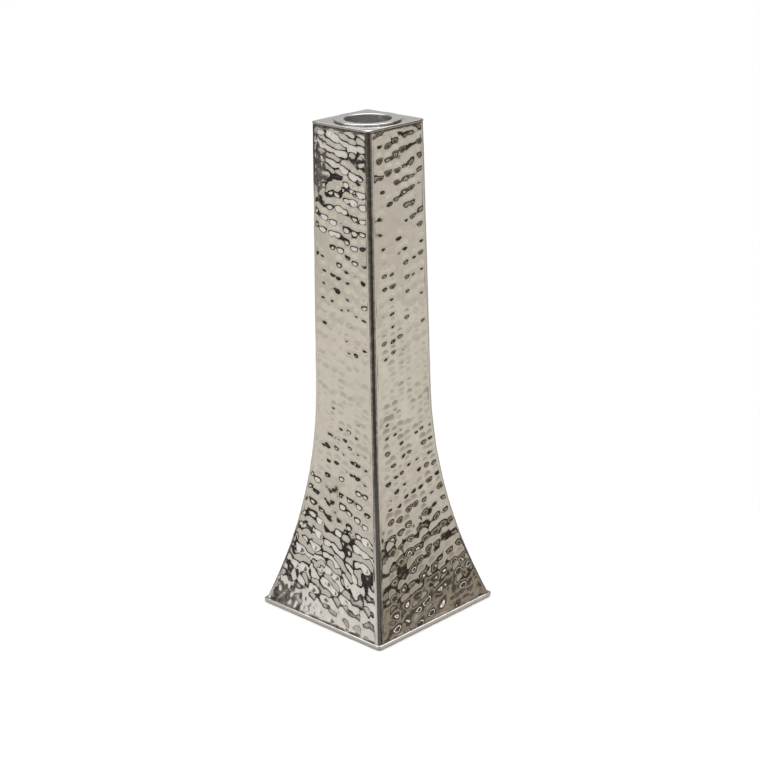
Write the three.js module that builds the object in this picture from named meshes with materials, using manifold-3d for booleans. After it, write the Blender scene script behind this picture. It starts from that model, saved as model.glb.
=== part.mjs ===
// A square candlestick of hammered sheet metal, 254 mm tall, that holds one 22 mm dinner candle.
//
// The body is a hollow shaft that flares into a wide square foot. Four bent panels make its faces, and four
// smooth angle strips join them at the corners. A polished plate closes the top, and a spun candle cup drops
// through its hole into a guide collar, so that the cup lifts out for cleaning. A square rim binds the foot.
// Inside it, a base plate is screwed up to four corner tabs, and a felt pad is glued under the plate.
//
// Millimetres, +Z up. The origin is the centre of the felt's underside, and the front panel faces -Y.

import * as THREE from "three";
import { mergeVertices } from "three/addons/utils/BufferGeometryUtils.js";
import Module from "manifold-3d";

const wasm = await Module();
wasm.setup();

// Heights
const overallHeight = 254;
const lipCrest = 1.4; // the cup's rolled edge above the top plate
const topPlateThickness = 1.5;
const feltThickness = 1.6;
const basePlateThickness = 1.4;
const rimGround = 0.8; // the foot rim's underside above the table, which only the felt touches
const rimHeight = 1.6;

// The outline of the shaft and foot, as half widths across the flats
const topHalf = 19.3;
const flareHalf = 21;
const flareStart = 118; // height where the straight shaft turns into the flare
const flareRadius = 364;
const rimHalf = 42.3;
const rimWidth = 3;

// Sheet, seams and clearances
const sheet = 1;
const stripLeg = 3.2;
const cornerRadius = 2.2;
const seamGap = 0.3;
const brazeGap = 0.05;
const seatGap = 0.05;

// The candle cup, as radii
const boreRadius = 11.5;
const cupWall = 0.9;
const cupDepth = 26;
const cupFloorThickness = 1;
const flangeRadius = 16.5;
const mouthRounding = 1.3;
const guideClearance = 0.3;
const collarWall = 1.5;
const collarHeight = 8;

// The fastenings under the foot
const tabThickness = 1.5;
const tabLeg = 18;
const tabTip = 3;
const screwInset = 6.5; // from the tab's outer edges to the screw
const screwRadius = 1.45;
const screwHeadRadius = 2.9;
const screwHeadHeight = 1.1;
const screwTail = 1;
const feltHoleRadius = 3.6;

const bendSteps = 24;
const roundSegments = 40;

const plateTop = overallHeight - lipCrest;
const shellTop = plateTop - topPlateThickness - brazeGap;
const shellBottom = rimGround + rimHeight + brazeGap;
const basePlateTop = feltThickness + basePlateThickness;
const tabBottom = basePlateTop + brazeGap;
const tabTop = tabBottom + tabThickness;
const tubeRadius = boreRadius + cupWall;
const guideRadius = tubeRadius + guideClearance;

// The flare is an arc that leaves the tapered shaft without a kink.
const taper = Math.atan2(flareHalf - topHalf, plateTop - flareStart);
const flareCentreHalf = flareHalf + flareRadius * Math.cos(taper);
const flareCentreZ = flareStart + flareRadius * Math.sin(taper);

// Half the width across the flats at a height.
function halfWidth(z) {
  if (z > flareStart) return flareHalf - (z - flareStart) * Math.tan(taper);
  return flareCentreHalf - Math.sqrt(flareRadius ** 2 - (flareCentreZ - z) ** 2);
}

const tabCorner = halfWidth(tabTop) - sheet - seamGap;
const screwAt = tabCorner - screwInset;

const metal = (color, roughness) => new THREE.MeshStandardMaterial({ color, roughness, metalness: 1 });
const hammeredNickel = metal(0xc9c3b8, 0.16);
const polishedNickel = metal(0xcfcbc4, 0.1);
const plainSteel = metal(0x9c9a96, 0.4);
const zincScrew = metal(0xb9bcc0, 0.3);
const darkFelt = new THREE.MeshStandardMaterial({ color: 0x2b2c2e, roughness: 0.95, metalness: 0 });

const candlestick = new THREE.Group();

function add(name, geometry, material, turn = 0) {
  const mesh = new THREE.Mesh(geometry, material);
  mesh.name = name;
  mesh.rotation.z = turn;
  candlestick.add(mesh);
}

// Moves each vertex to where place() puts it.
function bend(geometry, place) {
  const position = geometry.getAttribute("position");
  const point = new THREE.Vector3();
  for (let i = 0; i < position.count; i++) {
    place(point.fromBufferAttribute(position, i));
    position.setXYZ(i, point.x, point.y, point.z);
  }
  geometry.computeVertexNormals();
  return geometry;
}

// A square with round corners, centred on the axis.
function roundedSquare(half, radius) {
  const c = half - radius;
  return new THREE.Shape()
    .absarc(c, c, radius, 0, Math.PI / 2)
    .absarc(-c, c, radius, Math.PI / 2, Math.PI)
    .absarc(-c, -c, radius, Math.PI, Math.PI * 1.5)
    .absarc(c, -c, radius, Math.PI * 1.5, Math.PI * 2);
}

function circle(radius, x = 0, y = 0) {
  return new THREE.Shape().absarc(x, y, radius, 0, Math.PI * 2);
}

// A level plate from an outline with holes, with its edges eased by bevel.
function plate(outline, holes, bottom, height, bevel = 0, curveSegments = 10) {
  outline.holes = holes;
  const geometry = new THREE.ExtrudeGeometry(outline, {
    depth: height - 2 * bevel,
    bevelEnabled: bevel > 0,
    bevelThickness: bevel,
    bevelSize: bevel,
    bevelOffset: -bevel,
    bevelSegments: 2,
    curveSegments,
  });
  return geometry.translate(0, 0, bottom + bevel);
}

// A profile of radius and height, turned about the Z axis.
function turned(profile, segments = roundSegments, divisions = 5) {
  return new THREE.LatheGeometry(profile.getPoints(divisions), segments).rotateX(Math.PI / 2);
}

function solid(geometry) {
  const bare = geometry.index ? geometry.toNonIndexed() : geometry.clone();
  bare.deleteAttribute("normal");
  bare.deleteAttribute("uv");
  const merged = mergeVertices(bare, 1e-4);
  const vertProperties = merged.getAttribute("position").array;
  return new wasm.Manifold(new wasm.Mesh({ numProp: 3, vertProperties, triVerts: new Uint32Array(merged.index.array) }));
}

function geometryOf(manifold) {
  const mesh = manifold.getMesh();
  const geometry = new THREE.BufferGeometry();
  geometry.setAttribute("position", new THREE.BufferAttribute(mesh.vertProperties, 3));
  geometry.setIndex(new THREE.BufferAttribute(mesh.triVerts, 1));
  return geometry;
}

// One face of the shaft: a strip of sheet as wide as the gap between two corner strips.
function panelGeometry() {
  const height = shellTop - shellBottom;
  const flat = new THREE.BoxGeometry(2, 2, height, 1, 1, bendSteps);
  return bend(flat, (p) => {
    p.z += (shellTop + shellBottom) / 2;
    const half = halfWidth(p.z);
    p.x *= half - stripLeg - seamGap;
    p.y = p.y > 0 ? sheet - half : -half;
  });
}

// An angle with a round outside, which follows the corner of the shaft and foot.
function cornerStripGeometry() {
  const section = new THREE.Shape()
    .moveTo(-stripLeg, 0)
    .lineTo(-cornerRadius, 0)
    .absarc(-cornerRadius, cornerRadius, cornerRadius, -Math.PI / 2, 0)
    .lineTo(0, stripLeg)
    .lineTo(-sheet, stripLeg)
    .lineTo(-sheet, cornerRadius)
    .absarc(-cornerRadius, cornerRadius, cornerRadius - sheet, 0, -Math.PI / 2, true)
    .lineTo(-stripLeg, sheet);
  const depth = shellTop - shellBottom;
  const straight = new THREE.ExtrudeGeometry(section, { depth, steps: bendSteps, bevelEnabled: false, curveSegments: 4 });
  return bend(straight, (p) => {
    p.z += shellBottom;
    p.x += halfWidth(p.z);
    p.y -= halfWidth(p.z);
  });
}

// A spun tube with a rounded mouth, a shallow drip channel and a rolled outer edge that seats on the top plate.
function cupGeometry() {
  const seat = plateTop + seatGap;
  const lip = plateTop + 1.2;
  const rollRadius = overallHeight - seat;
  const rollCentre = flangeRadius - rollRadius;
  const bottom = overallHeight - cupDepth - cupFloorThickness - 0.5;
  const profile = new THREE.Path();
  profile.moveTo(boreRadius, bottom);
  profile.lineTo(tubeRadius, bottom);
  profile.lineTo(tubeRadius, seat);
  profile.absarc(rollCentre, seat, rollRadius, 0, Math.PI / 2);
  profile.quadraticCurveTo(rollCentre - 1, lip - 0.6, boreRadius + mouthRounding, lip);
  profile.absarc(boreRadius + mouthRounding, lip - mouthRounding, mouthRounding, Math.PI / 2, Math.PI);
  profile.lineTo(boreRadius, bottom);
  return turned(profile);
}

// The triangular plate brazed into a corner of the foot, drilled for its screw.
function tabGeometry() {
  const outline = new THREE.Shape()
    .moveTo(tabCorner, -tabCorner)
    .lineTo(tabCorner, tabLeg - tabCorner)
    .lineTo(tabCorner - tabTip, tabLeg - tabCorner)
    .lineTo(tabCorner - tabLeg, tabTip - tabCorner)
    .lineTo(tabCorner - tabLeg, -tabCorner);
  return plate(outline, [circle(screwRadius + 0.3, screwAt, -screwAt)], tabBottom, tabThickness);
}

// A pan-head screw with a cross recess, head down.
function screwGeometry() {
  const top = tabTop + screwTail;
  const headTop = feltThickness - brazeGap;
  const headBottom = headTop - screwHeadHeight;
  const profile = new THREE.Path();
  profile.moveTo(0, headBottom);
  profile.lineTo(screwHeadRadius - 0.9, headBottom);
  profile.quadraticCurveTo(screwHeadRadius, headBottom, screwHeadRadius, headTop);
  profile.lineTo(screwRadius, headTop);
  profile.lineTo(screwRadius, top);
  profile.lineTo(0, top);
  const blank = solid(turned(profile, 24, 4));
  const slotDepth = 0.6;
  const slotLength = 3.2;
  const slotWidth = 0.7;
  const middle = headBottom + slotDepth / 2;
  const slot = new THREE.BoxGeometry(slotLength, slotWidth, slotDepth * 2).translate(0, 0, middle - slotDepth / 2);
  const crossSlot = slot.clone().rotateZ(Math.PI / 2);
  const cut = blank.subtract(solid(slot)).subtract(solid(crossSlot));
  return geometryOf(cut).translate(screwAt, -screwAt, 0);
}

// The four copies of a piece on the front face, or on the front right corner, each a quarter turn on.
function addAround(names, geometry, material) {
  names.forEach((name, i) => add(name, geometry, material, (i * Math.PI) / 2));
}

const corners = ["front_right", "back_right", "back_left", "front_left"];

addAround(["front_panel", "right_panel", "back_panel", "left_panel"], panelGeometry(), hammeredNickel);
addAround(corners.map((c) => `${c}_corner_strip`), cornerStripGeometry(), polishedNickel);
addAround(corners.map((c) => `${c}_tab`), tabGeometry(), plainSteel);
addAround(corners.map((c) => `${c}_screw`), screwGeometry(), zincScrew);

const innerRimHalf = rimHalf - rimWidth;
const rimOutline = roundedSquare(rimHalf, cornerRadius - 0.4);
add("foot_rim", plate(rimOutline, [roundedSquare(innerRimHalf, 1)], rimGround, rimHeight, 0.5, 5), polishedNickel);

const topOutline = roundedSquare(topHalf + 0.1, cornerRadius);
add("top_plate", plate(topOutline, [circle(guideRadius)], plateTop - topPlateThickness, topPlateThickness, 0.5), polishedNickel);

const collarOutline = circle(guideRadius + collarWall);
const collarTop = plateTop - topPlateThickness - brazeGap;
add(
  "cup_guide_collar",
  plate(collarOutline, [circle(guideRadius)], collarTop - collarHeight, collarHeight, 0, roundSegments / 2),
  plainSteel,
);

add("candle_cup", cupGeometry(), polishedNickel);

const cupFloorTop = overallHeight - cupDepth;
const cupFloor = new THREE.CylinderGeometry(boreRadius - seamGap, boreRadius - seamGap, cupFloorThickness, roundSegments);
cupFloor.rotateX(Math.PI / 2).translate(0, 0, cupFloorTop - cupFloorThickness / 2);
add("cup_floor", cupFloor, polishedNickel);

// The base plate and the felt are both drilled on the screws, the felt wide enough to pass their heads.
const basePlateHalf = innerRimHalf - seamGap;
const atScrews = (radius) => [[1, -1], [1, 1], [-1, 1], [-1, -1]].map(([x, y]) => circle(radius, x * screwAt, y * screwAt));
const basePlate = roundedSquare(basePlateHalf, 1);
add("base_plate", plate(basePlate, atScrews(screwRadius + 0.3), feltThickness, basePlateThickness), plainSteel);

const felt = roundedSquare(basePlateHalf - 0.3, 1);
add("felt_pad", plate(felt, atScrews(feltHoleRadius), 0, feltThickness - brazeGap), darkFelt);

export default candlestick;
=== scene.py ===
"""The looks of a square, hammered candlestick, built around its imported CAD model.

Metres, in the CAD model's frame: +Z up, the origin under the middle of the foot, the front panel facing -Y.
The four faces are hammered sheet with every dent in the mesh. The corner strips, top plate, candle cup and
foot rim are polished, and a felt pad lies under the foot. The metal mirrors a room of painted floors, walls
and sky, which shows only in its reflections.
"""

import math

import bmesh
import bpy
import numpy as np
from mathutils import Matrix, Vector
from mathutils.geometry import delaunay_2d_cdt


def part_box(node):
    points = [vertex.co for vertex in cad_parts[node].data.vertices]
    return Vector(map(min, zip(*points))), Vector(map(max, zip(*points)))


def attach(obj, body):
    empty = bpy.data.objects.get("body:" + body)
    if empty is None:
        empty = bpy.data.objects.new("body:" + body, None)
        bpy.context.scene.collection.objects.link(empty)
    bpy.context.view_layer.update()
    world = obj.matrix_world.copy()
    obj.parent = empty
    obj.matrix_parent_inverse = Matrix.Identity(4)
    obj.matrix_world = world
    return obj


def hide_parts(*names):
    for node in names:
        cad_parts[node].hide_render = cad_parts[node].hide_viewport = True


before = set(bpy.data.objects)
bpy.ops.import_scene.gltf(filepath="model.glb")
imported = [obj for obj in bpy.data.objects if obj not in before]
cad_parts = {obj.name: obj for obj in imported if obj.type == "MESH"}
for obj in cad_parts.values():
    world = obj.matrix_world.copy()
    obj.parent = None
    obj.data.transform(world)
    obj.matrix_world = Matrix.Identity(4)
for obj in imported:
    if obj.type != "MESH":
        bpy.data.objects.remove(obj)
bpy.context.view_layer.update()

MM = 0.001

# The outline, as in the CAD model: a tapered shaft, then an arc that leaves it without a kink.
TOP_HALF = 19.3 * MM
FLARE_HALF = 21 * MM
FLARE_START = 118 * MM
FLARE_RADIUS = 364 * MM
PLATE_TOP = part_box("top_plate")[1].z
TAPER = math.atan2(FLARE_HALF - TOP_HALF, PLATE_TOP - FLARE_START)
FLARE_CENTRE_HALF = FLARE_HALF + FLARE_RADIUS * math.cos(TAPER)
FLARE_CENTRE_Z = FLARE_START + FLARE_RADIUS * math.sin(TAPER)

SHEET = 1 * MM
STRIP_LEG = 3.2 * MM
CORNER_RADIUS = 2.2 * MM
SEAM = 0.01 * MM

SIDES = ["front", "right", "back", "left"]
CORNERS = ["front_right", "back_right", "back_left", "front_left"]


def half_width(z):
    """Half the width across the flats at each height."""
    z = np.asarray(z, float)
    shaft = FLARE_HALF - (z - FLARE_START) * math.tan(TAPER)
    drop = np.clip(FLARE_CENTRE_Z - z, 0, FLARE_RADIUS)
    flare = FLARE_CENTRE_HALF - np.sqrt(FLARE_RADIUS**2 - drop**2)
    return np.where(z > FLARE_START, shaft, flare)


def lean(z):
    """How far the face leans back from upright at each height, in radians."""
    z = np.asarray(z, float)
    flare = np.arcsin(np.clip((FLARE_CENTRE_Z - z) / FLARE_RADIUS, 0, 1))
    return np.where(z > FLARE_START, TAPER, flare)


def smooth(low, high, x):
    """Rises from 0 at low to 1 at high."""
    t = np.clip((x - low) / (high - low), 0, 1)
    return t * t * (3 - 2 * t)


def band_of(a, b, c, d, x):
    """Rises from 0 at a to 1 at b, and falls back to 0 from c to d."""
    return smooth(a, b, x) * (1 - smooth(c, d, x))


# Mesh helpers


def new_object(name, points, faces, material):
    """A smooth-shaded mesh of the points and faces, in the scene."""
    mesh = bpy.data.meshes.new(name)
    mesh.from_pydata(np.asarray(points).tolist(), [], faces)
    mesh.polygons.foreach_set("use_smooth", [True] * len(mesh.polygons))
    mesh.update()
    piece = bpy.data.objects.new(name, mesh)
    bpy.context.scene.collection.objects.link(piece)
    mesh.materials.append(material)
    return piece


def sharpen(piece, degrees):
    """Keeps the edges that turn by more than this crisp, and smooths the rest."""
    piece.data.set_sharp_from_angle(angle=math.radians(degrees))


def set_patina_and_shade(piece, values):
    """How tarnished each point is, and how much painted shade it carries, from 0 to 1, for the metal's
    material.
    """
    layer = piece.data.attributes.new("patina_and_shade", "FLOAT", "POINT")
    layer.data.foreach_set("value", np.asarray(values, np.float32))


def finish_piece(piece, body, slot, *nodes):
    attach(piece, body)
    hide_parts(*nodes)


def ring_stack(name, rings, material):
    """A closed ring of metal: each ring of points is bridged to the next, and the last to the first."""
    count, size = len(rings), len(rings[0])
    faces = []
    for i in range(count):
        a, b = i * size, (i + 1) % count * size
        faces += [(a + j, a + (j + 1) % size, b + (j + 1) % size, b + j) for j in range(size)]
    return new_object(name, np.concatenate(rings), faces, material)


def rounded_square(half, radius, z, side_points=14, corner_points=9):
    """A ring of points round a square with round corners, anticlockwise."""
    quarter = []
    straight = half - radius
    for t in np.linspace(-1, 1, side_points + 1)[1:-1]:
        quarter.append((half, straight * t))
    for angle in np.linspace(0, math.pi / 2, corner_points + 1):
        quarter.append((straight + radius * math.cos(angle), straight + radius * math.sin(angle)))
    quarter = np.array(quarter)
    turns = [quarter @ np.array([[math.cos(a), math.sin(a)], [-math.sin(a), math.cos(a)]])
             for a in np.arange(4) * math.pi / 2]
    flat = np.concatenate(turns)
    return np.column_stack([flat, np.full(len(flat), z)])


def circle_like(ring, radius, z):
    """The points of a ring moved in or out to a circle."""
    flat = ring[:, :2]
    flat = flat / np.linalg.norm(flat, axis=1)[:, None] * radius
    return np.column_stack([flat, np.full(len(flat), z)])


def arc(centre, radius, start, end, count):
    """Points of a profile along an arc, in degrees."""
    angles = np.radians(np.linspace(start, end, count))
    return [(centre[0] + radius * math.cos(a), centre[1] + radius * math.sin(a)) for a in angles]


def turned(name, profile, material, segments=160):
    """A closed profile of radius and height, turned about the Z axis."""
    angles = np.linspace(0, 2 * math.pi, segments, endpoint=False)
    ring = np.column_stack([np.cos(angles), np.sin(angles)])
    rings = [np.column_stack([ring * r, np.full(segments, z)]) for r, z in profile]
    return ring_stack(name, rings, material)


# Materials


class Nodes:
    """A small wrapper that adds and wires shader nodes."""

    def __init__(self, tree):
        self.tree = tree
        tree.nodes.clear()

    def add(self, kind, inputs=None, **settings):
        node = self.tree.nodes.new(kind)
        for key, value in settings.items():
            setattr(node, key, value)
        for key, value in (inputs or {}).items():
            self.put(node.inputs[key], value)
        return node

    def put(self, socket, value):
        if isinstance(value, bpy.types.NodeSocket):
            self.tree.links.new(value, socket)
        else:
            socket.default_value = value

    def math(self, operation, *values, clamp=False):
        node = self.add("ShaderNodeMath", operation=operation, use_clamp=clamp)
        for socket, value in zip(node.inputs, values):
            self.put(socket, value)
        return node.outputs[0]

    def noise(self, vector, scale, detail=2.0, roughness=0.5):
        inputs = {"Vector": vector, "Scale": scale, "Detail": detail, "Roughness": roughness}
        return self.add("ShaderNodeTexNoise", inputs).outputs["Fac"]

    def mix(self, factor, a, b):
        node = self.add("ShaderNodeMix", data_type="RGBA")
        self.put(node.inputs["Factor"], factor)
        self.put(node.inputs["A"], a)
        self.put(node.inputs["B"], b)
        return node.outputs["Result"]

    def range(self, value, low, high, to_low, to_high):
        inputs = {"Value": value, "From Min": low, "From Max": high, "To Min": to_low, "To Max": to_high}
        return self.add("ShaderNodeMapRange", inputs).outputs[0]


def new_material(name):
    material = bpy.data.materials.new(name)
    material.use_nodes = True
    return material, Nodes(material.node_tree)


def metal(name, colour, tarnish_and_shade, roughness, dull=0.25, ripple=0.3):
    """Polished plate: a cloudy shine, fine wiping scratches, and a darker tint where patina is painted.

    dull is how much rougher the tinted parts are, and ripple how strong the plating's orange peel is.
    """
    material, n = new_material(name)
    place = n.add("ShaderNodeTexCoord").outputs["Object"]
    cloud = n.noise(place, 60, 4, 0.6)
    grain = n.noise(place, 900, 3, 0.6)
    speckle = n.range(n.noise(place, 420, 3, 0.65), 0.3, 0.7, 0.6, 1.1)
    # The patina: tarnished metal on some parts, and painted shade and painted dark reflections on others.
    painted = n.add("ShaderNodeAttribute", attribute_name="patina_and_shade").outputs["Fac"]
    dirt_and_shade = n.math("MULTIPLY", painted, speckle, clamp=True)
    tint = n.math("ADD", n.range(cloud, 0.3, 0.7, 0.0, 0.06), dirt_and_shade, clamp=True)
    base = n.mix(tint, (*colour, 1), (*tarnish_and_shade, 1))

    clean_shine = n.range(cloud, 0.3, 0.7, roughness * 0.7, roughness * 1.3)
    grainy_shine = n.math("ADD", clean_shine, n.range(grain, 0.45, 0.8, 0.0, 0.05))
    shine = n.math("ADD", grainy_shine, n.math("MULTIPLY", dirt_and_shade, dull))

    stretched = n.add("ShaderNodeMapping", {"Vector": place, "Scale": (1, 1, 0.06)}).outputs[0]
    wiping = {"Strength": 0.02, "Distance": 0.02 * MM, "Height": n.noise(stretched, 2600, 2, 0.5)}
    scratched = n.add("ShaderNodeBump", wiping).outputs[0]
    orange_peel = {"Strength": ripple, "Distance": 0.05 * MM, "Height": n.noise(place, 420, 2, 0.45)}
    bump = n.add("ShaderNodeBump", {**orange_peel, "Normal": scratched}).outputs[0]
    plate = {"Base Color": base, "Roughness": shine, "Metallic": 1.0, "Normal": bump}
    surface = n.add("ShaderNodeBsdfPrincipled", plate)
    n.add("ShaderNodeOutputMaterial", {"Surface": surface.outputs[0]})
    return material


hammered_nickel = metal("hammered_nickel", (0.80, 0.775, 0.73), tarnish_and_shade=(0.10, 0.09, 0.075),
                        roughness=0.05, ripple=0.5)
polished_nickel = metal("polished_nickel", (0.82, 0.80, 0.765), tarnish_and_shade=(0.30, 0.28, 0.24),
                        roughness=0.08, ripple=0.12)
seam_nickel = metal("seam_nickel", (0.80, 0.78, 0.74), tarnish_and_shade=(0.24, 0.225, 0.20), roughness=0.09, dull=0.08)
spun_nickel = metal("spun_nickel", (0.80, 0.795, 0.78), tarnish_and_shade=(0.58, 0.575, 0.565),
                    roughness=0.09, dull=0.55, ripple=0.1)
plain_steel = metal("plain_steel", (0.52, 0.51, 0.50), tarnish_and_shade=(0.36, 0.33, 0.29), roughness=0.32)
zinc = metal("zinc_screw", (0.62, 0.63, 0.66), tarnish_and_shade=(0.50, 0.48, 0.40), roughness=0.26)


def felt_material():
    """Dark pressed wool: matted fibres, with paler lint caught in them."""
    material, n = new_material("felt")
    place = n.add("ShaderNodeTexCoord").outputs["Object"]
    fibres = n.noise(place, 2200, 6, 0.75)
    mat = n.noise(place, 240, 4, 0.6)
    base = n.mix(n.range(mat, 0.3, 0.7, 0, 1), (0.020, 0.021, 0.024, 1), (0.045, 0.046, 0.052, 1))
    lint = n.range(fibres, 0.62, 0.74, 0, 0.5)
    base = n.mix(lint, base, (0.16, 0.16, 0.17, 1))
    bump = n.add("ShaderNodeBump", {"Strength": 0.6, "Distance": 0.25 * MM, "Height": fibres}).outputs[0]
    wool = {"Base Color": base, "Roughness": 0.95, "Normal": bump}
    sheen = {"Sheen Weight": 0.6, "Sheen Roughness": 0.5}
    surface = n.add("ShaderNodeBsdfPrincipled", {**wool, **sheen})
    n.add("ShaderNodeOutputMaterial", {"Surface": surface.outputs[0]})
    return material


felt = felt_material()


# Hammered faces


class Waves:
    """A smooth random surface: a few dozen plane waves of about one wavelength."""

    # The shortest and the longest wave, as shares of the wavelength.
    SPREAD = (0.7, 1.6)

    def __init__(self, rng, wavelength, count=24):
        angle = rng.uniform(0, 2 * math.pi, count)
        length = wavelength * rng.uniform(*self.SPREAD, count)
        self.kx = 2 * math.pi / length * np.cos(angle)
        self.ky = 2 * math.pi / length * np.sin(angle)
        self.phase = rng.uniform(0, 2 * math.pi, count)
        self.count = count

    def at(self, x, y):
        total = np.zeros(np.broadcast(x, y).shape)
        for kx, ky, phase in zip(self.kx, self.ky, self.phase):
            total += np.sin(kx * x + ky * y + phase)
        return total / math.sqrt(self.count / 2)


class Hammering:
    """The dents of one face, in rows that slope across it, and the sheet's own slight waves.

    Places on the face are given across it, from its middle, and along the sheet from its top edge.
    """

    # The rows and columns, how far a dent strays from its place both ways, and the share of dents left out.
    # More rows are laid past both ends, because they slope.
    ROW = 6.9 * MM
    COLUMN = 5.25 * MM
    SLOPE = 0.25
    STRAY_ACROSS, STRAY_ALONG = 0.6 * MM, 0.75 * MM
    MISSED = 0.04
    EXTRA_ROWS = 7

    # A dent: its size, how much longer than wide it is, how it turns, how round its floor is, its depth as a
    # share of its length and its blow, and how hard the blows are. The flare's dents are wider and sparser.
    DENT_RADIUS = (2.35 * MM, 3.2 * MM)
    STRETCH = (1.0, 1.25)
    TURN, UNEVEN_TURN = -0.12, 0.25
    ROUNDNESS = 1.4
    DEPTH_SHARE = 0.65
    BLOW, UNEVENNESS = 0.14, 0.045
    WEAKEST, STRONGEST = 0.03, 0.3
    FLARE_SPACING, FLARE_WIDENING = 0.7, 0.35

    # The wavelengths of the sheet's waves, its fine ripple, its furrows and the hammer's force, and the
    # depths of the first two. The waves also bend the furrows, which are stronger in some places than others.
    WAVE, RIPPLE, TROUGH, FORCE = 24 * MM, 7 * MM, 20 * MM, 34 * MM
    WAVE_DEPTH, RIPPLE_DEPTH = 0.08 * MM, 0.02 * MM
    ROW_WANDER = 0.12
    FURROWED, FURROW_VARIATION, DEEPEST_FURROW = 0.3, 0.5, 1.2

    # The plain margins beside the corner bends and at the two ends.
    BEND_MARGIN = (0, 1.3 * MM)
    END_MARGIN = (0.2 * MM, 1.6 * MM)

    # How much more gently the face is hammered: all over, and in its middle and at its lower edge. At its top
    # end it is hammered harder.
    EASE = 0.22
    CALM_ZONE = (38 * MM, 72 * MM, 160 * MM, 190 * MM)
    TOP_ZONE = (25 * MM, 50 * MM)
    EDGE_ZONE, EDGE_EASE = (226 * MM, 250 * MM), 0.3

    # Where the furrows fade out, and where the face is overworked and rough.
    FURROW_ENDS = ((45 * MM, 75 * MM, 0.7), (150 * MM, 180 * MM, 0.3))
    ROUGH_TOP = (24 * MM, 44 * MM)
    ROUGH_FOOT, ROUGH_FOOT_SHARE = (180 * MM, 212 * MM, 222 * MM, 250 * MM), 0.7

    def __init__(self, seed, fall, margins, rough, furrow, calm, top):
        rng = np.random.default_rng(seed)
        self.fall = fall
        self.rough = rough
        self.furrow = furrow
        self.calm = calm
        self.top = top
        self.wave = Waves(rng, self.WAVE)
        self.ripple = Waves(rng, self.RIPPLE, 36)
        self.trough = Waves(rng, self.TROUGH)
        force = Waves(rng, self.FORCE)
        self.dents = []
        rows = int(ALONG[-1] / self.ROW) + 2 * self.EXTRA_ROWS
        for row in range(-self.EXTRA_ROWS, rows):
            level = (row + 0.5) * self.ROW
            half = float(np.interp(level, ALONG, HALVES))
            low, high = margins[0] - half, half - margins[1]
            spread = float(np.clip(half / FLARE_HALF - 1, 0, 1))
            count = round((high - low) / (self.COLUMN * (1 + self.FLARE_SPACING * spread)))
            for k in range(count):
                across = low + (k + 0.5) / count * (high - low) + rng.normal(0, self.STRAY_ACROSS)
                along = level + self.SLOPE * fall * across + rng.normal(0, self.STRAY_ALONG)
                wide = rng.uniform(*self.DENT_RADIUS) * (1 + self.FLARE_WIDENING * spread)
                tall = wide * rng.uniform(*self.STRETCH)
                blow = self.BLOW + self.UNEVENNESS * float(force.at(across, along))
                blow = float(np.clip(blow + rng.normal(0, self.UNEVENNESS), self.WEAKEST, self.STRONGEST))
                depth = self.DEPTH_SHARE * tall * blow * (1 - self.gentleness(along))
                turn = rng.normal(self.TURN * fall, self.UNEVEN_TURN)
                if rng.random() > self.MISSED:
                    self.dents.append((across, along, wide, tall, depth, turn))

    def gentleness(self, along):
        """The share by which a dent is shallower than its blow would make it."""
        gentle = self.EASE + self.calm * float(band_of(*self.CALM_ZONE, along))
        gentle -= self.top * float(1 - smooth(*self.TOP_ZONE, along))
        return gentle + self.EDGE_EASE * float(smooth(*self.EDGE_ZONE, along))

    def depth(self, across, along):
        """How far the surface lies below the flat sheet, on a grid whose rows run down the face."""
        sunk = np.zeros(across.shape)
        rows = along[:, 0]
        for x, y, wide, tall, deep, turn in self.dents:
            reach = max(wide, tall)
            first, last = np.searchsorted(rows, [y - reach, y + reach])
            if first == last:
                continue
            dx, dy = across[first:last] - x, along[first:last] - y
            c, s = math.cos(turn), math.sin(turn)
            rho2 = ((c * dx + s * dy) / wide) ** 2 + ((c * dy - s * dx) / tall) ** 2
            sunk[first:last] += deep * np.clip(1 - rho2, 0, 1) ** self.ROUNDNESS
        wave = self.wave.at(across, along)
        row = (along - self.SLOPE * self.fall * across) / self.ROW - 0.5 + self.ROW_WANDER * wave
        strength = self.FURROWED + self.FURROW_VARIATION * self.trough.at(across, along)
        strength = np.clip(strength, 0, self.DEEPEST_FURROW)
        strength *= 1 - sum(share * smooth(low, high, along) for low, high, share in self.FURROW_ENDS)
        sunk += self.furrow * strength * (0.5 + 0.5 * np.cos(2 * math.pi * row))
        sunk += self.WAVE_DEPTH * wave
        overworked = 1 - smooth(*self.ROUGH_TOP, along)
        overworked += self.ROUGH_FOOT_SHARE * band_of(*self.ROUGH_FOOT, along)
        sunk += (self.RIPPLE_DEPTH + self.rough * overworked) * self.ripple.at(across, along)
        half = np.interp(along, ALONG, HALVES)
        from_bend = half - CORNER_RADIUS - np.abs(across)
        ends = np.minimum(along, ALONG[-1] - along)
        return sunk * smooth(*self.BEND_MARGIN, from_bend) * smooth(*self.END_MARGIN, ends)


# The way down a face, measured along the sheet from the top edge.
PANEL_LOW, PANEL_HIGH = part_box("front_panel")
LEVELS = np.linspace(PANEL_HIGH.z, PANEL_LOW.z, 620)
HALVES = half_width(LEVELS)
ALONG = np.concatenate([[0], np.cumsum(np.hypot(np.diff(LEVELS), np.diff(HALVES)))])

# Each face's random seed, which way its rows slope, the plain margins beside its two corners, how deep the
# rough ripple goes, how deep the furrows that join some dents into rows, how much shallower the dents are
# halfway down, and how much deeper near the top.
HAMMERING = [Hammering(11, 1, (0.1 * MM, 3.0 * MM), 0.05 * MM, 0.06 * MM, 0.26, 0.05),
             Hammering(23, -1, (5.4 * MM, 2.6 * MM), 0.014 * MM, 0.12 * MM, 0.06, 0.12),
             Hammering(37, 1, (1.0 * MM, 3.0 * MM), 0.04 * MM, 0.08 * MM, 0.25, 0.1),
             Hammering(41, -1, (4.0 * MM, 1.6 * MM), 0.02 * MM, 0.08 * MM, 0.2, 0.1)]


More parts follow.
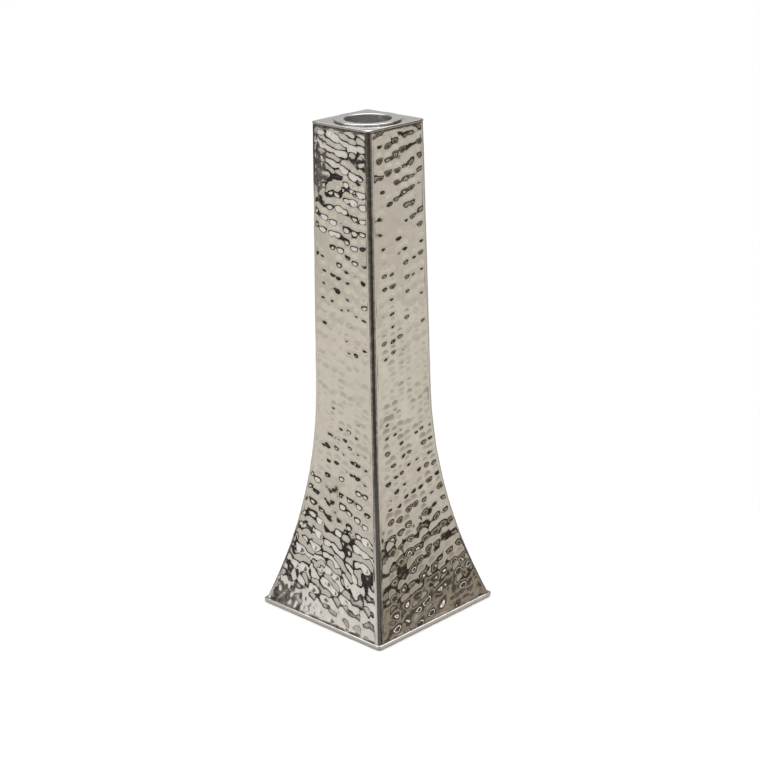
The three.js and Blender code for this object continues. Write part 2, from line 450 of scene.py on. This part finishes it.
def panel_faces(rows, columns):
    """The faces of a closed sheet: a grid outside, and behind it the points of its two long edges."""
    left_back, right_back = rows * columns, rows * columns + rows
    faces = []
    for i in range(rows - 1):
        a, b = i * columns, (i + 1) * columns
        faces += [(a + j, b + j, b + j + 1, a + j + 1) for j in range(columns - 1)]
        faces.append((a, left_back + i, left_back + i + 1, b))
        faces.append((a + columns - 1, b + columns - 1, right_back + i + 1, right_back + i))
        faces.append((left_back + i, right_back + i, right_back + i + 1, left_back + i + 1))
    last = (rows - 1) * columns
    faces.append((*range(columns), right_back, left_back))
    bottom = range(last + columns - 1, last - 1, -1)
    faces.append((*bottom, left_back + rows - 1, right_back + rows - 1))
    return faces


def panel_grime_and_shade(across, level, edge_shade_and_residue, smudges, seed):
    """Where a face is dark: a ragged line along its top and bottom edges, painted shade in the creases at the
    plate and the rim with some polish residue, and blotchy tarnished smudges.
    """
    top_shade_and_residue, bottom_shade_and_residue = (0.8 * MM, 1.5 * MM), (0.4 * MM, 1.0 * MM)
    ragged = 0.35 * MM * Waves(np.random.default_rng(seed), 5 * MM).at(across, level)
    from_bottom = ALONG[-1] - level
    grime_and_shade = np.maximum(1 - smooth(*top_shade_and_residue, level + ragged), 1 - smooth(*bottom_shade_and_residue, from_bottom + ragged))
    grime_and_shade = edge_shade_and_residue * grime_and_shade
    blotch = 0.35 * Waves(np.random.default_rng(seed + 20), 4 * MM).at(across, level)
    for x, y, wide, tall, dark in smudges:
        reach = np.hypot((across - x) / wide, (level - y) / tall) + blotch
        grime_and_shade = np.maximum(grime_and_shade, dark * (1 - smooth(0.6, 1.1, reach)))
    return grime_and_shade


def hammered_panel(side, turn, hammering, edge_shade_and_residue, smudges, seed):
    """One face of the shaft and foot: a closed sheet whose outer side carries the hammering.

    Its fourth argument is how dark its top and bottom edges are: painted shade in the creases at the plate
    and the rim, with some polish residue. Each smudge is a tarnished patch: where it lies across and along
    the face, how far it reaches both ways, and how dark it is.
    """
    columns, rows = 150, len(LEVELS)
    reach = HALVES - STRIP_LEG - SEAM
    across = reach[:, None] * np.linspace(-1, 1, columns)[None, :]
    level = np.repeat(ALONG[:, None], columns, axis=1)
    wear, wear_reach = 0.25 * MM, 0.9 * MM
    sunk = hammering.depth(across, level) + wear * edge_shade_and_residue * (1 - smooth(0, wear_reach, level))

    tilt = lean(LEVELS)[:, None]
    y = -HALVES[:, None] + sunk * np.cos(tilt)
    outer = np.stack([across, y, LEVELS[:, None] - sunk * np.sin(tilt)], axis=2)
    outer[..., 2] = np.clip(outer[..., 2], PANEL_LOW.z, PANEL_HIGH.z)
    backs = np.stack([np.stack([edge * reach, SHEET - HALVES, LEVELS], axis=1) for edge in (-1, 1)])
    points = np.concatenate([outer.reshape(-1, 3), backs.reshape(-1, 3)])

    panel = new_object(f"{side}_face", points, panel_faces(rows, columns), hammered_nickel)
    grime_and_shade = panel_grime_and_shade(across, level, edge_shade_and_residue, smudges, seed)
    set_patina_and_shade(panel, np.concatenate([grime_and_shade.ravel(), np.zeros(2 * rows)]))
    sharpen(panel, 40)
    panel.data.transform(Matrix.Rotation(turn, 4, "Z"))
    finish_piece(panel, "holder", "hammered_nickel", f"{side}_panel")


# Each face's tarnished smudges, and how dark its top and bottom edges are: painted crease shade with some
# polish residue.
SMUDGES = [[(-15 * MM, 20 * MM, 6 * MM, 13 * MM, 0.95), (-33 * MM, 251 * MM, 19 * MM, 11 * MM, 1.0)], [],
           [(15 * MM, 30 * MM, 5 * MM, 10 * MM, 0.6)], [(-12 * MM, 225 * MM, 9 * MM, 8 * MM, 0.5)]]
EDGE_SHADE_AND_RESIDUE = (1.0, 0.35, 0.8, 0.5)
for i, side in enumerate(SIDES):
    hammered_panel(side, i * math.pi / 2, HAMMERING[i], EDGE_SHADE_AND_RESIDUE[i], SMUDGES[i], 80 + i)


# Corner strips


def drawn_faces(count, size):
    """The faces of a closed section of size points, drawn through count places and closed at both ends."""
    faces = []
    for i in range(count - 1):
        a, b = i * size, (i + 1) * size
        faces += [(a + j, b + j, b + (j + 1) % size, a + (j + 1) % size) for j in range(size)]
    faces.append(tuple(range(size)))
    last = (count - 1) * size
    faces.append(tuple(range(last + size - 1, last - 1, -1)))
    return faces


def corner_strip(corner, turn, left_face, right_face, tarnish_and_shade, seed):
    """A bent angle with a round outside, drawn down the corner of the shaft and out along the foot.

    The hammering of the two faces beside it runs over its flat legs, and its round back is painted dark, less
    on the foot: a painted reflection of a dark shade.
    """
    low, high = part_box(f"{corner}_corner_strip")
    z = np.linspace(high.z, low.z, 520)
    half, along = half_width(z), np.interp(-z, -LEVELS, ALONG)
    ease = 0.02 * MM
    leg = np.linspace(ease - STRIP_LEG, -CORNER_RADIUS, 5)
    bend = np.array(arc((-CORNER_RADIUS, CORNER_RADIUS), CORNER_RADIUS, -90, 0, 17))[1:-1]
    inside = np.array(arc((-CORNER_RADIUS, CORNER_RADIUS), CORNER_RADIUS - SHEET, 0, -90, 5))
    left = np.array([[-STRIP_LEG, SHEET], [-STRIP_LEG, ease], *[[x, 0] for x in leg]])
    right = [[-y, -x] for x, y in left[::-1]]
    section = np.concatenate([left, bend, right, inside])
    size, count = len(section), len(z)
    bend_start = 2 + len(leg)
    bend_end = bend_start + len(bend)
    on_left, on_bend = slice(2, bend_start), slice(bend_start, bend_end)
    on_right = slice(bend_end, bend_end + len(leg))

    x = half[:, None] + section[None, :, 0]
    y = section[None, :, 1] - half[:, None]
    down = np.repeat(along[:, None], len(leg), axis=1)
    y[:, on_left] += left_face.depth(x[:, on_left], down)
    x[:, on_right] -= right_face.depth(y[:, on_right], down)
    waver = 0.04 * MM * Waves(np.random.default_rng(seed), 26 * MM, 12).at(z, np.zeros(count))
    x[:, on_bend] -= np.abs(waver)[:, None]
    y[:, on_bend] += np.abs(waver)[:, None]
    points = np.stack([x, y, np.repeat(z[:, None], size, axis=1)], axis=2).reshape(-1, 3)

    strip = new_object(f"{corner}_angle", points, drawn_faces(count, size), seam_nickel)
    # Painted reflection: the round back is darkened, and the ends darken where they meet the plate and the
    # rim.
    dark = np.zeros(size)
    dark[on_bend] = 1
    dark[[bend_start - 1, bend_end]] = 0.4
    foot_share, on_shaft = 0.45, smooth(FLARE_START * 0.3, FLARE_START, z)
    dark = tarnish_and_shade * dark[None, :] * (foot_share + (1 - foot_share) * on_shaft)[:, None]
    from_end = np.minimum(high.z - z, z - low.z)
    ends = 0.8 * (1 - smooth(0, 0.8 * MM, from_end))[:, None]
    set_patina_and_shade(strip, np.maximum(dark, ends).ravel())
    sharpen(strip, 50)
    strip.data.transform(Matrix.Rotation(turn, 4, "Z"))
    finish_piece(strip, "holder", "polished_nickel", f"{corner}_corner_strip")


# How dark each strip's back is painted, a painted reflection of a dark shade: darkest on the front right
# corner, which faces the camera.
STRIP_PAINTED_REFLECTION = (0.95, 0.6, 0.5, 0.2)
for i, corner in enumerate(CORNERS):
    corner_strip(corner, i * math.pi / 2, HAMMERING[i], HAMMERING[(i + 1) % 4], STRIP_PAINTED_REFLECTION[i], 60 + i)


# Top plate, foot rim and candle cup


def eased_ring(half, radius, low, high, ease, outline=rounded_square, steps=6):
    """The outline's rings up a side with rounded edges, from below to above."""
    rings = []
    for angle in np.linspace(-math.pi / 2, 0, steps):
        back = ease * (1 - math.cos(angle))
        rings.append(outline(half - back, radius - back, low + ease * (1 + math.sin(angle))))
    for angle in np.linspace(0, math.pi / 2, steps):
        back = ease * (1 - math.cos(angle))
        rings.append(outline(half - back, radius - back, high - ease * (1 - math.sin(angle))))
    return rings


def top_plate():
    """The square plate with its hole for the cup, a slight sag, a painted shadow round the cup's flange and
    tarnished metal on its edge.
    """
    low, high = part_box("top_plate")
    hole, edge, eased, flange = 12.7 * MM, 0.25 * MM, 0.07 * MM, 16.5 * MM
    outer_ease, sag_depth = 0.65 * MM, 0.012 * MM
    rings = eased_ring(high.x, CORNER_RADIUS, low.z, high.z, outer_ease)
    pattern = rings[-1]
    bore = [(hole + edge, high.z), (hole + eased, high.z - eased), (hole, high.z - edge), (hole, low.z)]
    wide = circle_like(pattern, hole + edge, high.z)
    rings += [pattern * (1 - t) + wide * t for t in (0.25, 0.5, 0.75)]
    rings += [circle_like(pattern, r, z) for r, z in bore]
    rings.append((rings[0] + rings[-1]) / 2)
    plate = ring_stack("top_cap", rings, polished_nickel)
    points = np.array([v.co for v in plate.data.vertices])
    sag = Waves(np.random.default_rng(5), 22 * MM, 14).at(points[:, 0], points[:, 1])
    on_top = points[:, 2] > high.z - 0.01 * MM
    for vertex, z in zip(plate.data.vertices, points[:, 2] - sag_depth * (1 + sag) * on_top):
        vertex.co.z = z
    # Painted shadow: a dark line round the cup's flange, darkest on the side to the camera's right.
    beside = np.hypot(points[:, 0], points[:, 1]) - flange
    shadow_side = 0.5 + 0.5 * np.cos(np.arctan2(points[:, 1], points[:, 0]) - math.radians(20))
    flange_shadow = (0.15 + 0.7 * shadow_side**2) * (1 - smooth(0, 0.5 * MM, beside))
    on_edge = 0.7 * smooth(0.3 * MM, 0.8 * MM, high.z - points[:, 2])
    set_patina_and_shade(plate, np.maximum(flange_shadow, on_edge))
    sharpen(plate, 45)
    finish_piece(plate, "holder", "polished_nickel", "top_plate")


def foot_rim():
    """The band round the foot, tarnished on its outer side."""
    low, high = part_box("foot_rim")
    width, ease, outer_corner, inner_corner = 3 * MM, 0.3 * MM, 1.8 * MM, 1.0 * MM
    outer = eased_ring(high.x, outer_corner, low.z, high.z, ease)
    inner = eased_ring(high.x - width, inner_corner, low.z, high.z, -ease)
    rim = ring_stack("foot_band", outer + inner[::-1], polished_nickel)
    points = np.array([v.co for v in rim.data.vertices])
    reach = np.maximum(np.abs(points[:, 0]), np.abs(points[:, 1]))
    set_patina_and_shade(rim, 0.8 * (1 - smooth(high.x - 0.5 * MM, high.x - 0.1 * MM, reach)))
    sharpen(rim, 50)
    finish_piece(rim, "holder", "polished_nickel", "foot_rim")


def candle_cup():
    """A spun tube with a rounded mouth, a flat flange and an eased edge that rests on the plate."""
    low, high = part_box("candle_cup")
    bore, wall, flange = 11.5 * MM, 0.9 * MM, high.x
    seat = PLATE_TOP + 0.05 * MM
    edge, face = 0.4 * MM, seat + 0.85 * MM
    mouth = 0.55 * MM
    crest, top = bore + mouth, high.z - 0.7 * MM
    cut, bore_depth = 0.15 * MM, 6 * MM
    profile = [(bore, low.z + cut), (bore + cut, low.z), (bore + wall - cut, low.z)]
    profile += [(bore + wall, low.z + cut), (bore + wall, seat)]
    profile += arc((flange - edge, seat + edge), edge, -60, 0, 5)
    profile += arc((flange - edge, face - edge), edge, 0, 90, 7)
    width, drop = flange - edge - crest, top - face
    inwards = np.linspace(0, 1, 14)[1:-1]
    profile += [(flange - edge - width * t, face + drop * smooth(0.45, 1, t)) for t in inwards]
    profile += arc((crest, top - mouth), mouth, 90, 180, 10)
    profile.append((bore, high.z - bore_depth))
    cup = turned("spun_cup", profile, spun_nickel)
    heights = np.array([v.co.z for v in cup.data.vertices])
    reach = np.array([math.hypot(v.co.x, v.co.y) for v in cup.data.vertices])
    depth = high.z - heights
    # Painted shade: the inside is darker and rougher deeper down; the crest of the mouth is dulled a little.
    inside = (0.45 + 0.55 * smooth(1 * MM, 8 * MM, depth)) * (reach < bore + 0.1 * MM)
    on_mouth = 0.4 * (np.abs(reach - crest) < 0.8 * MM) * (depth < 2 * MM)
    set_patina_and_shade(cup, np.maximum(inside, on_mouth))
    sharpen(cup, 50)
    finish_piece(cup, "cup", "polished_nickel", "candle_cup")


def cup_floor():
    """The cup's pressed bottom, dished a little towards its middle."""
    low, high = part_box("cup_floor")
    radius, pole, dish, ease = high.x, 0.05 * MM, 0.12 * MM, 0.2 * MM
    edge = [(pole, low.z), (radius - ease, low.z), (radius, low.z + ease), (radius, high.z - ease),
            (radius - 0.3 * ease, high.z - 0.3 * ease), (radius - ease, high.z)]
    inwards = [(radius * t, high.z - dish * (1 - smooth(0.5, 0.8, t))) for t in (0.8, 0.7, 0.6, 0.5, 0.3)]
    profile = edge + inwards + [(pole, high.z - dish)]
    floor_plate = turned("pressed_bottom", profile, spun_nickel, 96)
    # Painted shade: the bottom of the cup is darkened and roughened all over.
    set_patina_and_shade(floor_plate, np.full(len(floor_plate.data.vertices), 0.8))
    sharpen(floor_plate, 50)
    finish_piece(floor_plate, "cup", "polished_nickel", "cup_floor")


top_plate()
foot_rim()
candle_cup()
cup_floor()


# Felt pad and hidden parts


def punched_square(half, soft, hole, centres, rng):
    """A square with round corners and round holes, cut into triangles.

    Returns its points, its triangles, the loops where its flat side ends, and the same loops where its soft
    edge bulges out furthest.
    """
    turn = np.linspace(0, 2 * math.pi, 28, endpoint=False)
    round_hole = np.column_stack([np.cos(turn), np.sin(turn)])
    square = rounded_square(1, 0.03, 0, 24, 4)[:, :2]
    loops = [square * (half - soft)] + [round_hole * (hole + soft) + centre for centre in centres]
    bulges = [square * half] + [round_hole * hole + centre for centre in centres]
    grid = np.arange(-half + 3 * MM, half - 2 * MM, 2.6 * MM)
    inner = np.array([(x, y) for x in grid for y in grid]) + rng.normal(0, 0.3 * MM, (len(grid) ** 2, 2))
    clear = np.all([np.hypot(*(inner - centre).T) > hole + 1.2 * MM for centre in centres], axis=0)
    flat = np.concatenate(loops + [inner[clear]])
    edges, start = [], 0
    for loop in loops:
        edges += [(start + k, start + (k + 1) % len(loop)) for k in range(len(loop))]
        start += len(loop)
    cut = delaunay_2d_cdt([Vector(p) for p in flat], edges, [], 1, 1e-7)
    layer, triangles = np.array([tuple(v) for v in cut[0]]), cut[2]
    middles = np.array([layer[list(t)].mean(axis=0) for t in triangles])
    rim = hole + 0.9 * soft
    kept = np.all([np.hypot(*(middles - centre).T) > rim for centre in centres], axis=0)
    return layer, [tuple(t) for t, keep in zip(triangles, kept) if keep], loops, bulges


def felt_pad():
    """A square of pressed felt with soft edges, punched over the four screw heads."""
    low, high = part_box("felt_pad")
    half, soft, hole = high.x, 0.35 * MM, 3.6 * MM
    rng = np.random.default_rng(7)
    screws = [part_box(f"{corner}_screw") for corner in CORNERS]
    centres = [((a.x + b.x) / 2, (a.y + b.y) / 2) for a, b in screws]
    layer, triangles, loops, bulges = punched_square(half, soft, hole, centres, rng)

    count = len(layer)
    mat = Waves(rng, 5 * MM, 30).at(layer[:, 0], layer[:, 1])
    under = low.z + 0.03 * MM * np.clip(1.5 + mat, 0, 4)
    points = [np.column_stack([layer, under]), np.column_stack([layer, np.full(count, high.z)])]
    faces = [t[::-1] for t in triangles] + [tuple(count + k for k in t) for t in triangles]
    base, start = 2 * count, 0
    for loop, bulge in zip(loops, bulges):
        size = len(loop)
        points += [np.column_stack([bulge, np.full(size, low.z + soft)]),
                   np.column_stack([bulge, np.full(size, high.z - soft)])]
        for k in range(size):
            a, b = k, (k + 1) % size
            faces += [(start + a, start + b, base + b, base + a),
                      (base + a, base + b, base + size + b, base + size + a),
                      (base + size + a, base + size + b, count + start + b, count + start + a)]
        base += 2 * size
        start += size
    pad = new_object("felt_sheet", np.concatenate(points), faces, felt)
    shell = bmesh.new()
    shell.from_mesh(pad.data)
    bmesh.ops.recalc_face_normals(shell, faces=shell.faces)
    shell.to_mesh(pad.data)
    shell.free()
    finish_piece(pad, "holder", "felt", "felt_pad")


def carry_over():
    """The hidden CAD parts keep their shape, with a fine bevel and their own metal.

    They are the guide collar, the tabs, the base plate and the screws.
    """
    for name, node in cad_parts.items():
        if node.hide_render:
            continue
        node.data.materials.clear()
        node.data.materials.append(zinc if name.endswith("screw") else plain_steel)
        bevel = node.modifiers.new("edges", "BEVEL")
        bevel.width = 0.12 * MM
        bevel.segments = 2
        bevel.limit_method = "ANGLE"
        bevel.angle_limit = math.radians(40)


felt_pad()
carry_over()


# Studio


def turned_azimuth(n, x, y, facing):
    """Degrees to the right of the facing direction, from -180 to 180, for a direction's x and y."""
    angle = n.math("ARCTAN2", x, n.math("MULTIPLY", y, -1))
    angle = n.math("MULTIPLY", angle, 180 / math.pi)
    turned_on = n.math("ADD", angle, 540 - facing)
    return n.math("SUBTRACT", n.math("MODULO", turned_on, 360), 180)


def band(n, value, low, high, soft):
    """1 between low and high, and 0 outside them, with soft edges."""
    rise = {"Value": value, "From Min": low - soft, "From Max": low + soft}
    fall = {"Value": value, "From Min": high - soft, "From Max": high + soft, "To Min": 1.0, "To Max": 0.0}
    smoothed = [n.add("ShaderNodeMapRange", edge, interpolation_type="SMOOTHSTEP") for edge in (rise, fall)]
    return n.math("MULTIPLY", *(node.outputs[0] for node in smoothed))


class Studio:
    """The light around the candlestick, painted on the sky by direction.

    Angles are in degrees: azimuths to the right of the camera's side, and elevations above the horizon.
    """

    def __init__(self, facing, ground):
        world = bpy.data.worlds.new("studio")
        bpy.context.scene.world = world
        world.use_nodes = True
        self.n = Nodes(world.node_tree)
        direction = self.n.add("ShaderNodeTexCoord").outputs["Generated"]
        x, y, z = self.n.add("ShaderNodeSeparateXYZ", {"Vector": direction}).outputs
        self.azimuth = turned_azimuth(self.n, x, y, facing)
        self.elevation = self.n.math("MULTIPLY", self.n.math("ARCSINE", z), 180 / math.pi)
        self.colour = (*ground, 1)

    def paint(self, azimuths, elevations, colour, soft):
        """A patch of light or shade between two azimuths and two elevations, with edges soft both ways."""
        mask = band(self.n, self.elevation, *elevations, soft[1])
        if azimuths is not None:
            mask = self.n.math("MULTIPLY", mask, band(self.n, self.azimuth, *azimuths, soft[0]))
        self.colour = self.n.mix(mask, self.colour, (*colour, 1))

    def finish(self, backdrop):
        seen = self.n.add("ShaderNodeLightPath").outputs["Is Camera Ray"]
        colour = self.n.mix(seen, self.colour, (*backdrop, 1))
        background = self.n.add("ShaderNodeBackground", {"Color": colour, "Strength": 1.0})
        self.n.add("ShaderNodeOutputWorld", {"Surface": background.outputs[0]})


CAMERA_AZIMUTH = 44.44

# The walls of the room, by azimuth from the camera's side.
LEFT_SIDE = (-125, -38)
RIGHT_SIDE = (38, 150)
FRONT_SHADE = (-38, 40)
DARKEST_FRONT = (10, 24)
FRONT_SOFTNESS = 8
DARK_SHADE = (0.15, 0.14, 0.13)
LEFT_WALL = (0.78, 0.765, 0.735)
RIGHT_WALL = (0.08, 0.07, 0.058)
BACK_WALL = (0.51, 0.51, 0.50)
BETWEEN_WALLS = (0.25, 0.245, 0.24)
GROUND = (0.20, 0.19, 0.18)

# The patches of the sky, each over those before it: its azimuths, or None for all round, its elevations,
# its colour, and how soft its edges are both ways.
SKY_PATCHES = [
    (None, (44, 99), (2.3, 2.3, 2.3), (4, 6)),  # the light overhead
    (LEFT_SIDE, (-12, 5), LEFT_WALL, (1.5, 1)),
    ((-86, -38), (4, 24), (0.89, 0.87, 0.84), (1.5, 3)),  # the left wall's bright upper part
    (RIGHT_SIDE, (-12, 26), RIGHT_WALL, (4, 1)),
    ((62, 122), (5.8, 6.6), (1.7, 1.62, 1.5), (3, 0.3)),  # a lamp on the right, which streaks the foot
    ((150, 200), (-12, 32), BACK_WALL, (8, 2)),
    ((-200, -165), (-12, 32), BACK_WALL, (8, 2)),
    ((-165, -125), (-12, 32), BETWEEN_WALLS, (4, 2)),
    (FRONT_SHADE, (-12, 25), DARK_SHADE, (FRONT_SOFTNESS, 6)),
]
studio = Studio(CAMERA_AZIMUTH, GROUND)
for patch in SKY_PATCHES:
    studio.paint(*patch)
studio.finish((1, 1, 1))


STAGE_SIDES = 128


def stage_ring(radius, z):
    """A ring of points of the stage."""
    angles = np.linspace(0, 2 * math.pi, STAGE_SIDES, endpoint=False)
    return np.column_stack([radius * np.cos(angles), radius * np.sin(angles), np.full(STAGE_SIDES, z)])


def upright_faces(start):
    """The faces between two rings of stage points that follow each other from the given point."""
    pairs = [(start + i, start + (i + 1) % STAGE_SIDES) for i in range(STAGE_SIDES)]
    return [(a, b, b + STAGE_SIDES, a + STAGE_SIDES) for a, b in pairs]


def disc(name, radius, z, material, skirting=0):
    """A round sheet of the stage, with an upright edge if skirting has a height."""
    points = np.concatenate([[[0, 0, 0]], stage_ring(radius, 0)])
    faces = [(0, i + 1, (i + 1) % STAGE_SIDES + 1) for i in range(STAGE_SIDES)]
    if skirting:
        points = np.concatenate([points, stage_ring(radius, skirting)])
        faces += upright_faces(1)
    sheet = new_object(name, points, faces, material)
    sheet.location.z = z
    return sheet


def backdrop(sheet):
    """Shows the sheet only in the metal's reflections."""
    sheet.visible_camera = sheet.visible_diffuse = False


def faded(n, shader, gone):
    """Ends the material with the shader, made clear where gone is 1."""
    clear = n.add("ShaderNodeBsdfTransparent").outputs[0]
    mixed = n.add("ShaderNodeMixShader", {0: gone, 1: shader, 2: clear}).outputs[0]
    n.add("ShaderNodeOutputMaterial", {"Surface": mixed})


class StagePlace:
    """A point of a stage sheet: its place, its distance from the middle, its azimuth and its height."""

    def __init__(self, n):
        self.place = n.add("ShaderNodeTexCoord").outputs["Object"]
        length = n.add("ShaderNodeVectorMath", {"Vector": self.place}, operation="LENGTH")
        self.distance = length.outputs["Value"]
        x, y, self.height = n.add("ShaderNodeSeparateXYZ", {"Vector": self.place}).outputs
        self.azimuth = turned_azimuth(n, x, y, CAMERA_AZIMUTH)


def table():
    """A small pale table top that fades out round the foot, and that the metal doesn't mirror."""
    radius = 0.30
    material, n = new_material("table")
    at = StagePlace(n)
    grain = n.noise(at.place, 40, 3, 0.5)
    base = n.mix(n.range(grain, 0.3, 0.7, 0, 1), (0.93, 0.93, 0.925, 1), (0.95, 0.95, 0.945, 1))
    pale = n.add("ShaderNodeBsdfDiffuse", {"Color": base}).outputs[0]
    faded(n, pale, n.range(at.distance, radius / 2, radius * 0.9, 0, 1))
    disc("table", radius, 0, material).visible_glossy = False


BROWN_SHADE = (0.34, 0.30, 0.24)


def near_floor():
    """What the metal mirrors close by: grey at the foot, then pale, or brown on the camera's right."""
    radius, grey_radius, fade = 0.36, 0.08, (0.11, 0.35)
    material, n = new_material("near_floor")
    at = StagePlace(n)
    ring = n.mix(band(n, at.azimuth, 20, 160, 12), (0.60, 0.57, 0.53, 1), (*BROWN_SHADE, 1))
    colour = n.mix(band(n, at.distance, -1, grey_radius, 0.012), ring, (0.50, 0.48, 0.45, 1))
    glow = n.add("ShaderNodeEmission", {"Color": colour}).outputs[0]
    faded(n, glow, n.range(at.distance, *fade, 0, 1))
    backdrop(disc("near_floor", radius, -1 * MM, material))


# The far floor's greenish and pinkish colours, near and far, and the dark one close by.
FLOOR_NEAR = ((0.73, 0.715, 0.62, 1), (0.76, 0.695, 0.655, 1))
FLOOR_FAR = ((0.53, 0.515, 0.44, 1), (0.57, 0.51, 0.475, 1))
FLOOR_CLOSE = (0.26, 0.235, 0.195, 1)


def cloudy_floor(n, at):
    """The far floor's colour: clouds of its near and far colours, tinted greenish and pinkish.

    It also darkens sharply close by, where only the undersides of the dents mirror it.
    """
    cloud = n.range(n.noise(at.place, 7, 3, 0.6), 0.3, 0.7, -0.55, 0.45)
    far = n.math("ADD", n.range(at.distance, 0.62, 1.22, 0, 0.85), cloud, clamp=True)
    tint = n.range(n.noise(at.place, 2.2, 2, 0.5), 0.4, 0.6, 0, 1)
    colour = n.mix(far, n.mix(tint, *FLOOR_NEAR), n.mix(tint, *FLOOR_FAR))
    return n.mix(n.range(at.distance, 0.45, 0.77, 0.65, 0), colour, FLOOR_CLOSE)


def far_floor():
    """What the metal mirrors below eye level: a round platform with a dark edge.

    Its edge shows twice on the camera's left, near the top of the shaft and on the foot, as dark lines round
    the dents. On the right the platform gives way to the foot of the wall, and in front to two dark shades.
    """
    radius, level, edge, right_fade = 1.6, -0.13, 0.12, (1.22, 1.38)
    edge_colour, front_colour = (0.032, 0.03, 0.028, 1), (0.04, 0.037, 0.032, 1)
    material, n = new_material("far_floor")
    at = StagePlace(n)
    colour = cloudy_floor(n, at)
    colour = n.mix(n.math("GREATER_THAN", at.height, 1 * MM), colour, edge_colour)
    colour = n.mix(band(n, at.azimuth, *FRONT_SHADE, FRONT_SOFTNESS), colour, (*DARK_SHADE, 1))
    colour = n.mix(band(n, at.azimuth, *DARKEST_FRONT, 3), colour, front_colour)
    glow = n.add("ShaderNodeEmission", {"Color": colour}).outputs[0]
    on_right = band(n, at.azimuth, *RIGHT_SIDE, 4)
    faded(n, glow, n.math("MULTIPLY", on_right, n.range(at.distance, *right_fade, 0, 1)))
    backdrop(disc("far_floor", radius, level, material, skirting=edge))


# The right wall's colours, from the bottom up: for each band, the heights where it starts and where it has
# fully taken over from the colour below it, and its own colour.
RIGHT_FLOOR = (0.66, 0.625, 0.565)
RIGHT_BANDS = [
    (-0.90, -0.40, (0.56, 0.52, 0.465)),  # the floor's colour, running on
    (-0.31, -0.25, (0.03, 0.025, 0.02)),  # a dark skirting
    (-0.10, -0.03, BROWN_SHADE),
    (0.03, 0.14, RIGHT_WALL),
]


def far_wall():
    """The foot of the room's walls: pale on the camera's left, and in bands on its right."""
    radius, low, high = 3.5, -1.6, 0.16
    material, n = new_material("far_wall")
    at = StagePlace(n)
    left = n.mix(n.range(at.height, -0.5, 0.05, 0, 1), (0.62, 0.59, 0.545, 1), (*LEFT_WALL, 1))
    colour = n.mix(band(n, at.azimuth, -125, -30, 1.5), (*BETWEEN_WALLS, 1), left)
    right = (*RIGHT_FLOOR, 1)
    for start, end, above in RIGHT_BANDS:
        right = n.mix(n.range(at.height, start, end, 0, 1), right, (*above, 1))
    colour = n.mix(band(n, at.azimuth, *RIGHT_SIDE, 4), colour, right)
    colour = n.mix(band(n, at.azimuth, *FRONT_SHADE, FRONT_SOFTNESS), colour, (*DARK_SHADE, 1))
    glow = n.add("ShaderNodeEmission", {"Color": colour}).outputs[0]
    n.add("ShaderNodeOutputMaterial", {"Surface": glow})
    points = np.concatenate([stage_ring(radius, low), stage_ring(radius, high)])
    sheet = new_object("far_wall", points, upright_faces(0), material)
    backdrop(sheet)


table()
near_floor()
far_floor()
far_wall()


def camera(aim, azimuth, elevation, distance, roll, lens):
    """Looks at the aim from a direction in degrees, with the picture turned by roll and the lens in mm."""
    a, e = math.radians(azimuth), math.radians(elevation)
    back = Vector((math.sin(a) * math.cos(e), -math.cos(a) * math.cos(e), math.sin(e)))
    eye = bpy.data.objects.new("camera", bpy.data.cameras.new("camera"))
    eye.data.lens = lens
    eye.data.sensor_width = 36
    turn = back.to_track_quat("Z", "Y").to_matrix() @ Matrix.Rotation(math.radians(roll), 3, "Z")
    eye.matrix_world = Matrix.Translation(Vector(aim) + back * distance) @ turn.to_4x4()
    eye.data.clip_start, eye.data.clip_end = 0.05, 50
    bpy.context.scene.collection.objects.link(eye)
    bpy.context.scene.camera = eye


AIM = (3.58 * MM, 1.2 * MM, 121.4 * MM)
camera(AIM, CAMERA_AZIMUTH, elevation=19.21, distance=917.5 * MM, roll=-1.12, lens=86.9)
bpy.context.scene.view_settings.view_transform = "Standard"
